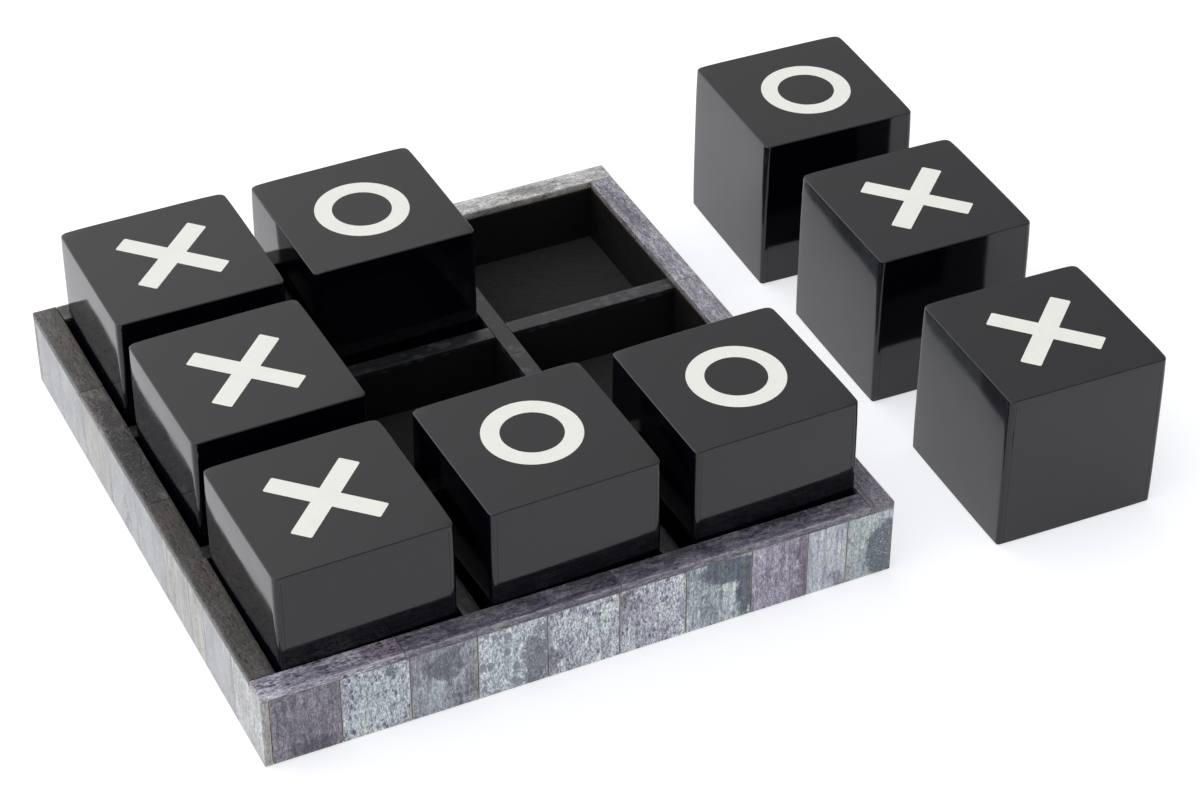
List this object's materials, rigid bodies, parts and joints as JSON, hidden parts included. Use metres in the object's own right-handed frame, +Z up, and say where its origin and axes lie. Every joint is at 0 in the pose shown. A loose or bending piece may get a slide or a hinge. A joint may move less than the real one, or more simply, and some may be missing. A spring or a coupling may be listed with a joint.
{
  "type": "tic tac toe set",
  "caption": "Square divided tray clad in grey bone tiles, with cube blocks inlaid with a white cross or ring, some standing in the cells and some beside the tray.",
  "frame": {"origin": "centre of the tray's underside, on the surface that the set stands on", "axes": "+Z up; +X to the tray's right, where the loose blocks stand; +Y to the tray's back"},
  "size_m": [0.4072, 0.2904, 0.0827],
  "materials": {
    "black_resin": "polished",
    "white_bone": "polished bone inlay",
    "grey_bone": "dyed and polished bone tile",
    "core_wood": "sawn",
    "black_painted_wood": "satin paint",
    "bare_board": "sawn",
    "black_felt": "felt"
  },
  "bodies": {
    "tray": {"base_felt": "black_felt", "floor_board": "bare_board", "cell_felts": "black_felt", "rail_front": "black_painted_wood", "rail_right": "black_painted_wood", "rail_back": "black_painted_wood", "rail_left": "black_painted_wood", "divider_left": "black_painted_wood", "divider_right": "black_painted_wood", "divider_front": "black_painted_wood", "divider_back": "black_painted_wood", "divider_strip_left": "grey_bone", "divider_strip_right": "grey_bone", "divider_strip_front": "grey_bone", "divider_strip_back": "grey_bone", "rim_strips_front": "grey_bone", "rim_strips_right": "grey_bone", "rim_strips_back": "grey_bone", "rim_strips_left": "grey_bone", "side_tiles_front": "grey_bone", "side_tiles_right": "grey_bone", "side_tiles_back": "grey_bone", "side_tiles_left": "grey_bone"},
    "x_block_1": {"x_block_1_core": "core_wood", "x_block_1_sides": "black_resin", "x_block_1_top": "black_resin", "x_block_1_mark": "white_bone"},
    "x_block_2": {"x_block_2_core": "core_wood", "x_block_2_sides": "black_resin", "x_block_2_top": "black_resin", "x_block_2_mark": "white_bone"},
    "x_block_3": {"x_block_3_core": "core_wood", "x_block_3_sides": "black_resin", "x_block_3_top": "black_resin", "x_block_3_mark": "white_bone"},
    "x_block_4": {"x_block_4_core": "core_wood", "x_block_4_sides": "black_resin", "x_block_4_top": "black_resin", "x_block_4_mark": "white_bone"},
    "x_block_5": {"x_block_5_core": "core_wood", "x_block_5_sides": "black_resin", "x_block_5_top": "black_resin", "x_block_5_mark": "white_bone"},
    "o_block_1": {"o_block_1_core": "core_wood", "o_block_1_sides": "black_resin", "o_block_1_top": "black_resin", "o_block_1_mark": "white_bone"},
    "o_block_2": {"o_block_2_core": "core_wood", "o_block_2_sides": "black_resin", "o_block_2_top": "black_resin", "o_block_2_mark": "white_bone"},
    "o_block_3": {"o_block_3_core": "core_wood", "o_block_3_sides": "black_resin", "o_block_3_top": "black_resin", "o_block_3_mark": "white_bone"},
    "o_block_4": {"o_block_4_core": "core_wood", "o_block_4_sides": "black_resin", "o_block_4_top": "black_resin", "o_block_4_mark": "white_bone"}
  },
  "joints": [
    {"name": "x_block_1_lift", "type": "slide", "parent": "tray", "child": "x_block_1", "axis": [0, 0, 1], "range_m": [0, 0.09]},
    {"name": "x_block_2_lift", "type": "slide", "parent": "tray", "child": "x_block_2", "axis": [0, 0, 1], "range_m": [0, 0.09]},
    {"name": "x_block_3_lift", "type": "slide", "parent": "tray", "child": "x_block_3", "axis": [0, 0, 1], "range_m": [0, 0.09]},
    {"name": "x_block_4_lift", "type": "slide", "parent": "tray", "child": "x_block_4", "axis": [0, 0, 1], "range_m": [0, 0.09]},
    {"name": "x_block_5_lift", "type": "slide", "parent": "tray", "child": "x_block_5", "axis": [0, 0, 1], "range_m": [0, 0.09]},
    {"name": "o_block_1_lift", "type": "slide", "parent": "tray", "child": "o_block_1", "axis": [0, 0, 1], "range_m": [0, 0.09]},
    {"name": "o_block_2_lift", "type": "slide", "parent": "tray", "child": "o_block_2", "axis": [0, 0, 1], "range_m": [0, 0.09]},
    {"name": "o_block_3_lift", "type": "slide", "parent": "tray", "child": "o_block_3", "axis": [0, 0, 1], "range_m": [0, 0.09]},
    {"name": "o_block_4_lift", "type": "slide", "parent": "tray", "child": "o_block_4", "axis": [0, 0, 1], "range_m": [0, 0.09]}
  ]
}
